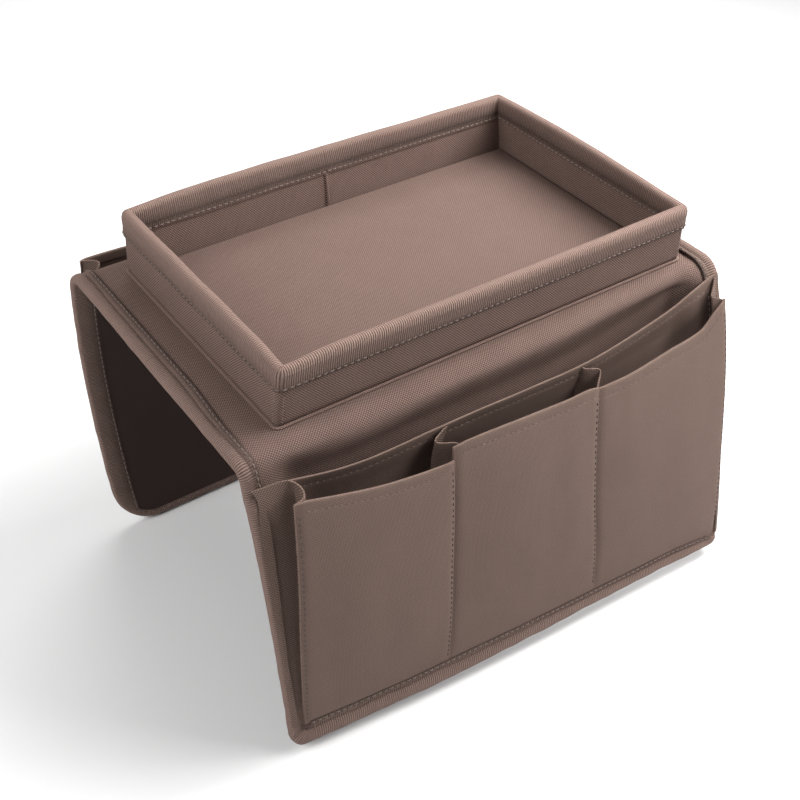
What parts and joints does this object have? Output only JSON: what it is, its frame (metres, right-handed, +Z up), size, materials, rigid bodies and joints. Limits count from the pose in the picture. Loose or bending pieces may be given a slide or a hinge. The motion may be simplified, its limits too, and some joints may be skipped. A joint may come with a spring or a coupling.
{
  "type": "armrest organizer",
  "caption": "Cloth saddle organizer that hangs over a sofa arm, with a shallow walled tray on top, gusseted pockets on both hanging flaps and a wide magazine pocket behind the near row.",
  "frame": {"origin": "middle of the underside of the top's lining, where the saddle rests on the sofa arm", "axes": "+X along the arm, to the right seen from the side with three pockets; +Y away from that side, across the arm; +Z up, out of the tray"},
  "size_m": [0.32, 0.266, 0.232],
  "materials": {
    "saddle_cloth": "warm taupe-brown twill-woven polyester, matt",
    "pocket_cloth": "the same cloth cut single for pocket fronts and gussets, a little smoother and lighter",
    "tray_cloth": "taupe-brown twill-woven polyester over stiff board",
    "binding_tape": "coarse basket-woven edge tape with rows of stitches",
    "lining_cloth": "smooth very dark brown lining, slight sheen",
    "stiffener_board": "plain grey polypropylene sheet, hidden between the cloths"
  },
  "bodies": {
    "saddle": {"top_cloth": "saddle_cloth", "top_board": "stiffener_board", "top_lining": "lining_cloth", "top_binding_left": "binding_tape", "top_binding_right": "binding_tape", "near_shoulder_cloth": "saddle_cloth", "near_shoulder_lining": "lining_cloth", "near_shoulder_binding_left": "binding_tape", "near_shoulder_binding_right": "binding_tape", "far_shoulder_cloth": "saddle_cloth", "far_shoulder_lining": "lining_cloth", "far_shoulder_binding_left": "binding_tape", "far_shoulder_binding_right": "binding_tape", "tray_outer_cloth": "tray_cloth", "tray_lining": "tray_cloth", "tray_wall_board_near": "stiffener_board", "tray_wall_board_far": "stiffener_board", "tray_wall_board_left": "stiffener_board", "tray_wall_board_right": "stiffener_board", "tray_rim_binding": "binding_tape", "tray_floor_board": "stiffener_board", "tray_floor_cloth": "tray_cloth"},
    "near_flap": {"near_flap_cloth": "saddle_cloth", "near_flap_board": "stiffener_board", "near_flap_lining": "lining_cloth", "near_flap_binding": "binding_tape", "near_magazine_panel": "saddle_cloth", "near_end_gusset_left": "pocket_cloth", "near_end_gusset_right": "pocket_cloth", "near_divider_gusset_1": "pocket_cloth", "near_divider_gusset_2": "pocket_cloth"},
    "near_pockets": {"near_pocket_front_left": "pocket_cloth", "near_pocket_front_middle": "pocket_cloth", "near_pocket_front_right": "pocket_cloth"},
    "far_flap": {"far_flap_cloth": "saddle_cloth", "far_flap_board": "stiffener_board", "far_flap_lining": "lining_cloth", "far_flap_binding": "binding_tape", "far_end_gusset_left": "pocket_cloth", "far_end_gusset_right": "pocket_cloth", "far_divider_gusset": "pocket_cloth"},
    "far_pockets": {"far_pocket_front_left": "pocket_cloth", "far_pocket_front_right": "pocket_cloth"}
  },
  "joints": [
    {"name": "near_flap_swing", "type": "hinge", "parent": "saddle", "child": "near_flap", "pos_m": [0, -0.09576, -0.00099], "axis": [-1, 0, 0], "range_deg": [-28, 78], "stiffness_Nm_per_rad": 0.15, "springref_deg": 11.46, "deforming": ["near_shoulder_cloth", "near_shoulder_lining", "near_shoulder_binding_left", "near_shoulder_binding_right"]},
    {"name": "far_flap_swing", "type": "hinge", "parent": "saddle", "child": "far_flap", "pos_m": [0, 0.09535, -0.00068], "axis": [1, 0, 0], "range_deg": [-28, 80], "stiffness_Nm_per_rad": 0.15, "springref_deg": 11.46, "deforming": ["far_shoulder_cloth", "far_shoulder_lining", "far_shoulder_binding_left", "far_shoulder_binding_right"]},
    {"name": "near_pockets_open", "type": "hinge", "parent": "near_flap", "child": "near_pockets", "pos_m": [0, -0.13896, -0.17978], "axis": [1, 0, 0], "range_deg": [-3, 5], "deforming": ["near_end_gusset_left", "near_end_gusset_right", "near_divider_gusset_1", "near_divider_gusset_2"]},
    {"name": "far_pockets_open", "type": "hinge", "parent": "far_flap", "child": "far_pockets", "pos_m": [0, 0.09422, -0.17944], "axis": [-1, 0, 0], "range_deg": [-3, 5], "deforming": ["far_end_gusset_left", "far_end_gusset_right", "far_divider_gusset"]}
  ]
}
